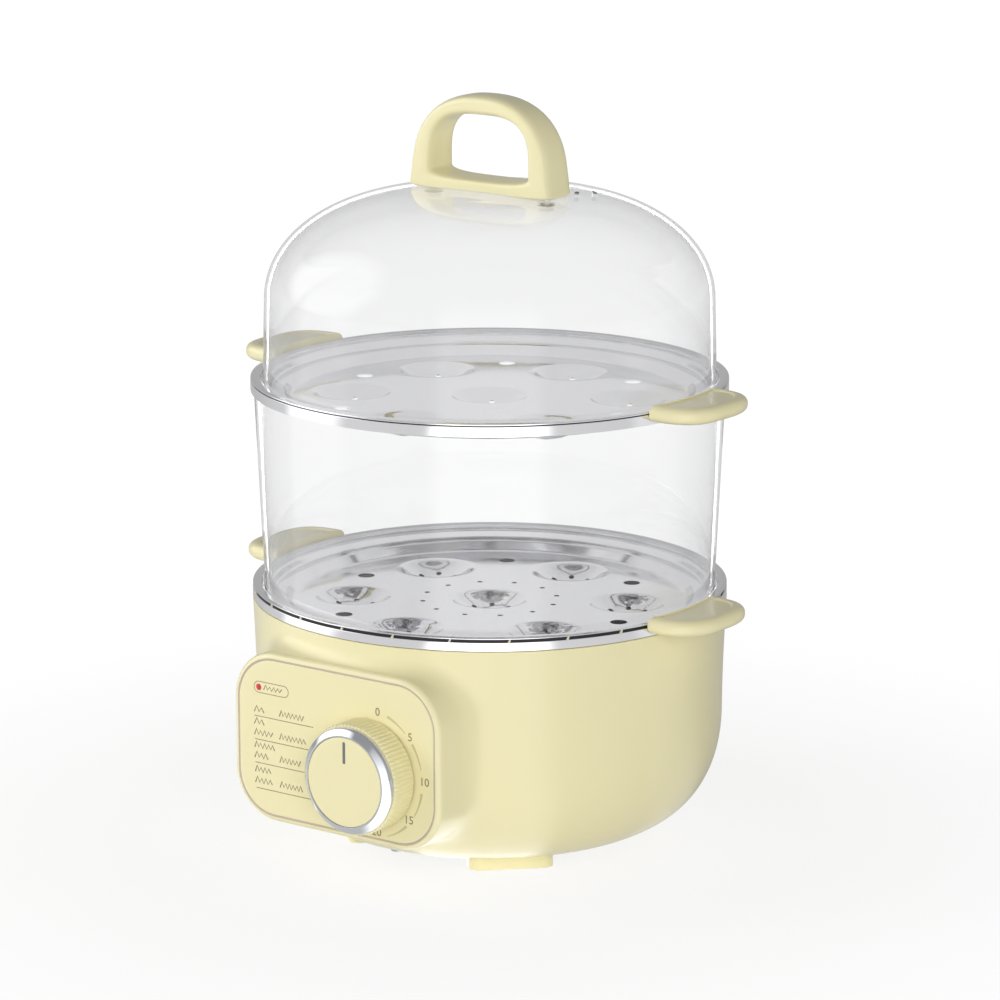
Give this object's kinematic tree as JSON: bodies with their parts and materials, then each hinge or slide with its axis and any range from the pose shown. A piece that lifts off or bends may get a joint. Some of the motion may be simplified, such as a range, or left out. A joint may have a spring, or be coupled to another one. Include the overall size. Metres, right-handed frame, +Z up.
{
  "type": "electric egg cooker",
  "caption": "Two-tier electric egg steamer: round base with a timer knob panel, two steel trays with tab handles, a clear ring and a domed clear lid with a loop handle.",
  "frame": {"origin": "middle of the whole outline seen from above, on the table plane under the foot pads; the trays' axis is 12.45 mm behind it", "axes": "+Z up along the axis of the trays and lid, control panel towards -Y, tray handles along X"},
  "size_m": [0.2652, 0.2452, 0.3469],
  "materials": {
    "cream_plastic": "semi-gloss moulded",
    "tray_steel": "polished stainless",
    "zinc_steel": "zinc plated",
    "bright_chrome": "bright",
    "clear_plastic": "clear, polished",
    "seam_plastic": "satin",
    "pointer_grey": "satin",
    "lens_red": "gloss",
    "neon_glass": "clear",
    "silicone": "matte",
    "foot_rubber": "matte",
    "spreader_aluminium": "cast",
    "element_steel": "heat dulled",
    "bell_brass": "satin",
    "dark_plastic": "moulded",
    "white_plastic": "moulded"
  },
  "bodies": {
    "base": {"base_shell": "cream_plastic", "bottom_cover": "cream_plastic", "foot_pads": "foot_rubber", "cover_screws": "zinc_steel", "heating_pan": "tray_steel", "pan_seal": "silicone", "pan_nuts": "zinc_steel", "heat_spreader": "spreader_aluminium", "heating_element": "element_steel", "thermostat": "dark_plastic", "thermostat_screws": "zinc_steel", "thermal_fuse": "white_plastic", "fuse_clip": "zinc_steel", "panel_plate": "cream_plastic", "panel_trim": "seam_plastic", "lamp_lens": "lens_red", "neon_lamp": "neon_glass", "timer_body": "zinc_steel", "timer_bell": "bell_brass", "timer_screws": "zinc_steel", "terminal_block": "white_plastic", "cord_gland": "cream_plastic", "gland_nut": "cream_plastic"},
    "knob": {"timer_shaft": "zinc_steel", "knob_body": "cream_plastic", "knob_ring": "bright_chrome", "knob_cap": "cream_plastic", "knob_pointer": "pointer_grey"},
    "lower_tray_set": {"lower_tray": "tray_steel", "lower_left_handle": "cream_plastic", "lower_right_handle": "cream_plastic", "lower_handle_screws": "zinc_steel"},
    "ring": {"steam_ring": "clear_plastic"},
    "upper_tray_set": {"upper_tray": "tray_steel", "upper_left_handle": "cream_plastic", "upper_right_handle": "cream_plastic", "upper_handle_screws": "zinc_steel"},
    "lid": {"lid_dome": "clear_plastic", "lid_handle": "cream_plastic", "lid_handle_screws": "zinc_steel", "lid_washers": "silicone"}
  },
  "joints": [
    {"name": "timer_turn", "type": "hinge", "parent": "base", "child": "knob", "pos_m": [0.0196, -0.10405, 0.0575], "axis": [0, 1, 0], "range_deg": [0, 328]},
    {"name": "lower_tray_lift", "type": "slide", "parent": "base", "child": "lower_tray_set", "axis": [0, 0, 1], "range_m": [0, 0.05]},
    {"name": "ring_lift", "type": "slide", "parent": "lower_tray_set", "child": "ring", "axis": [0, 0, 1], "range_m": [0, 0.06]},
    {"name": "upper_tray_lift", "type": "slide", "parent": "ring", "child": "upper_tray_set", "axis": [0, 0, 1], "range_m": [0, 0.05]},
    {"name": "lid_lift", "type": "slide", "parent": "upper_tray_set", "child": "lid", "axis": [0, 0, 1], "range_m": [0, 0.11]}
  ]
}
